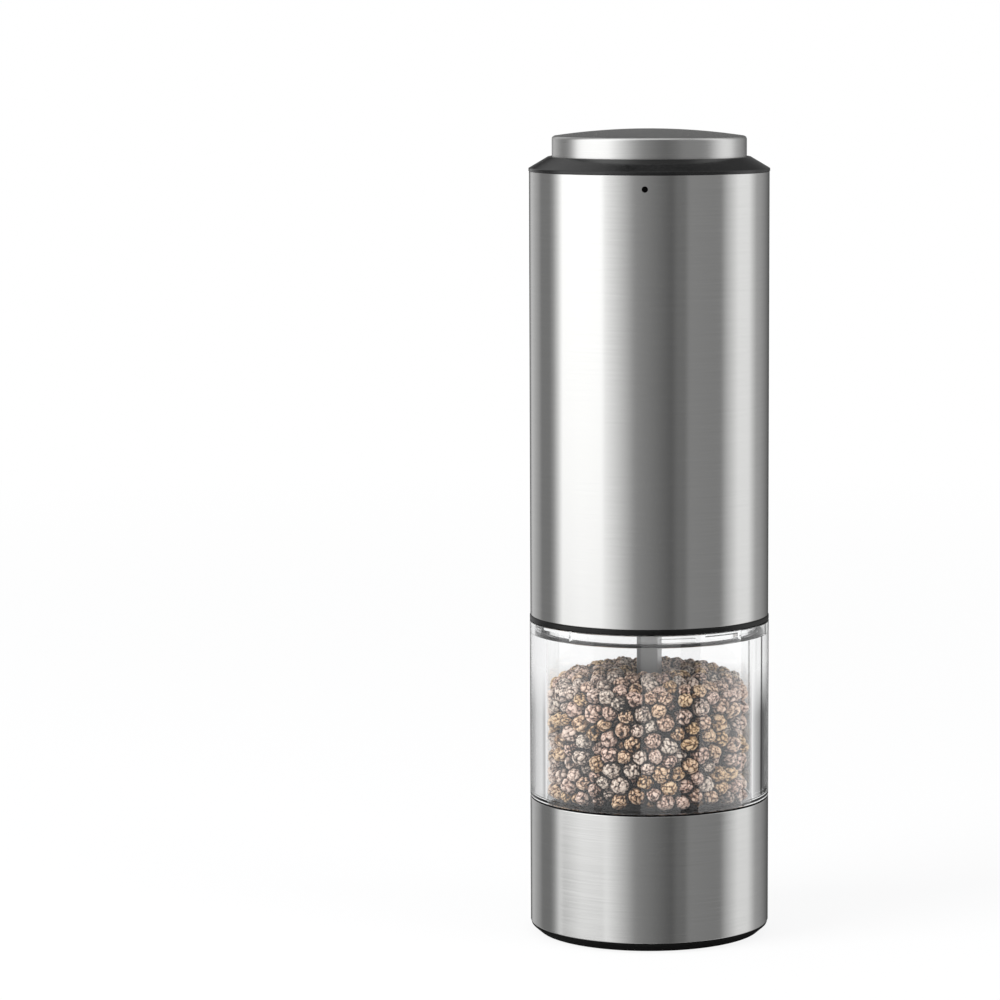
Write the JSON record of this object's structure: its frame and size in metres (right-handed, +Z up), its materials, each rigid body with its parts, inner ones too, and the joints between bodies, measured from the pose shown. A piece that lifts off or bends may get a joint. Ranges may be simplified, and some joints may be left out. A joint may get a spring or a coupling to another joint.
{
  "type": "pepper mill",
  "caption": "Rechargeable pepper mill: brushed steel motor head with a press button, clear jar of peppercorns with a bayonet, steel-sleeved base with a ceramic burr set.",
  "frame": {"origin": "centre of the underside, on the surface that the mill stands on", "axes": "+Z up along the mill's axis, -Y the front with the charge light, +X to the right seen from the front"},
  "size_m": [0.063, 0.063, 0.2116],
  "materials": {
    "brushed_steel": "fine brushing round the axis",
    "black_plastic": "satin black moulding",
    "frame_plastic": "dark grey moulding",
    "screw_steel": "zinc plated",
    "machined_steel": "machined",
    "spring_steel": "drawn wire",
    "ceramic_white": "fired, unglazed",
    "clear_plastic": "polished clear",
    "peppercorn": "wrinkled dried berries",
    "black_rubber": "soft satin",
    "white_nylon": "moulded",
    "light_grey_plastic": "moulded",
    "bronze": "sintered",
    "magnet": "sintered ferrite",
    "copper_winding": "enamelled copper",
    "cell_wrap": "shrink film",
    "wire_cover": "extruded",
    "board_green": "solder resist",
    "light_lens": "unlit dark lens"
  },
  "bodies": {
    "base": {"base_sleeve": "brushed_steel", "base_body": "black_plastic", "burr_retainer": "frame_plastic", "retainer_screws": "screw_steel", "outer_burr": "ceramic_white", "bridge": "frame_plastic", "bridge_screws": "screw_steel", "shaft_bush": "white_nylon", "peppercorn_fill": "peppercorn", "base_gasket": "black_rubber", "pepper_jar": "clear_plastic", "mouth_seal": "black_rubber"},
    "foot": {"base_cap": "black_plastic"},
    "carriage": {"thrust_pad": "bronze", "burr_spring": "spring_steel"},
    "adjuster": {"adjuster_knob": "light_grey_plastic"},
    "drive": {"inner_burr": "ceramic_white", "burr_core": "frame_plastic", "drive_shaft": "machined_steel"},
    "seal": {"rim_seal": "black_rubber"},
    "head": {"steel_tube": "brushed_steel", "head_floor": "black_plastic", "floor_screws": "screw_steel", "shaft_wiper": "black_rubber", "bayonet_ring": "clear_plastic", "gearbox_cover": "frame_plastic", "output_bush": "bronze", "ring_gear": "frame_plastic", "motor_plate": "machined_steel", "gearbox_screws": "screw_steel", "motor_can": "machined_steel", "motor_end_cap": "white_nylon", "motor_magnets": "magnet", "frame_left": "frame_plastic", "frame_right": "frame_plastic", "frame_screws": "screw_steel", "cell_left": "cell_wrap", "cell_right": "cell_wrap", "wiring": "wire_cover", "circuit_board": "board_green", "board_screws": "screw_steel", "charging_socket": "machined_steel", "charge_light": "light_lens", "push_switch": "black_plastic", "collar": "black_plastic"},
    "output": {"output_carrier": "machined_steel", "output_pins": "machined_steel"},
    "planet_b1": {"planet_b1": "white_nylon"},
    "planet_b2": {"planet_b2": "white_nylon"},
    "planet_b3": {"planet_b3": "white_nylon"},
    "stage": {"stage_carrier": "machined_steel", "stage_pins": "machined_steel"},
    "planet_a1": {"planet_a1": "white_nylon"},
    "planet_a2": {"planet_a2": "white_nylon"},
    "planet_a3": {"planet_a3": "white_nylon"},
    "armature": {"motor_armature": "copper_winding"},
    "button": {"button_cap": "brushed_steel", "button_core": "black_plastic", "switch_plunger": "white_nylon", "button_spring": "spring_steel"}
  },
  "joints": [
    {"name": "foot_pull", "type": "slide", "parent": "base", "child": "foot", "axis": [0, 0, -1], "range_m": [0, 0.012]},
    {"name": "burr_rise", "type": "slide", "parent": "base", "child": "carriage", "axis": [0, 0, 1], "range_m": [0, 0.00125], "deforming": ["burr_spring"]},
    {"name": "adjuster_turn", "type": "hinge", "parent": "carriage", "child": "adjuster", "pos_m": [0, 0, 0.014], "axis": [0, 0, 1], "range_deg": [0, 360]},
    {"name": "grind_spin", "type": "hinge", "parent": "carriage", "child": "drive", "pos_m": [0, 0, 0.05], "axis": [0, 0, 1], "continuous": true},
    {"name": "head_lift", "type": "slide", "parent": "base", "child": "seal", "axis": [0, 0, 1], "range_m": [0, 0.04]},
    {"name": "head_twist", "type": "hinge", "parent": "seal", "child": "head", "pos_m": [0, 0, 0.0836], "axis": [0, 0, 1], "range_deg": [0, 24]},
    {"name": "output_spin", "type": "hinge", "parent": "head", "child": "output", "pos_m": [0, 0, 0.09], "axis": [0, 0, 1], "continuous": true},
    {"name": "stage_spin", "type": "hinge", "parent": "head", "child": "stage", "pos_m": [0, 0, 0.104], "axis": [0, 0, 1], "continuous": true},
    {"name": "motor_spin", "type": "hinge", "parent": "head", "child": "armature", "pos_m": [0, 0, 0.13], "axis": [0, 0, 1], "continuous": true},
    {"name": "button_press", "type": "slide", "parent": "head", "child": "button", "axis": [0, 0, -1], "range_m": [0, 0.0015], "stiffness_N_per_m": 1200, "springref_m": -0.001, "deforming": ["button_spring"]},
    {"name": "planet_b1_spin", "type": "hinge", "parent": "output", "child": "planet_b1", "pos_m": [0.00945, 0, 0.1], "axis": [0, 0, 1], "continuous": true},
    {"name": "planet_b2_spin", "type": "hinge", "parent": "output", "child": "planet_b2", "pos_m": [-0.00473, 0.00818, 0.1], "axis": [0, 0, 1], "continuous": true},
    {"name": "planet_b3_spin", "type": "hinge", "parent": "output", "child": "planet_b3", "pos_m": [-0.00473, -0.00818, 0.1], "axis": [0, 0, 1], "continuous": true},
    {"name": "planet_a1_spin", "type": "hinge", "parent": "stage", "child": "planet_a1", "pos_m": [0.00945, 0, 0.1], "axis": [0, 0, 1], "continuous": true},
    {"name": "planet_a2_spin", "type": "hinge", "parent": "stage", "child": "planet_a2", "pos_m": [-0.00473, 0.00818, 0.1], "axis": [0, 0, 1], "continuous": true},
    {"name": "planet_a3_spin", "type": "hinge", "parent": "stage", "child": "planet_a3", "pos_m": [-0.00473, -0.00818, 0.1], "axis": [0, 0, 1], "continuous": true}
  ],
  "couplings": [
    {"joint": "adjuster_turn", "follows": "burr_rise", "rad_per_m": 5026.5},
    {"joint": "output_spin", "follows": "grind_spin", "ratio": 1},
    {"joint": "stage_spin", "follows": "grind_spin", "ratio": 4.5},
    {"joint": "motor_spin", "follows": "grind_spin", "ratio": 20.25},
    {"joint": "planet_b1_spin", "follows": "grind_spin", "ratio": -2.8},
    {"joint": "planet_b2_spin", "follows": "grind_spin", "ratio": -2.8},
    {"joint": "planet_b3_spin", "follows": "grind_spin", "ratio": -2.8},
    {"joint": "planet_a1_spin", "follows": "grind_spin", "ratio": -12.6},
    {"joint": "planet_a2_spin", "follows": "grind_spin", "ratio": -12.6},
    {"joint": "planet_a3_spin", "follows": "grind_spin", "ratio": -12.6}
  ]
}
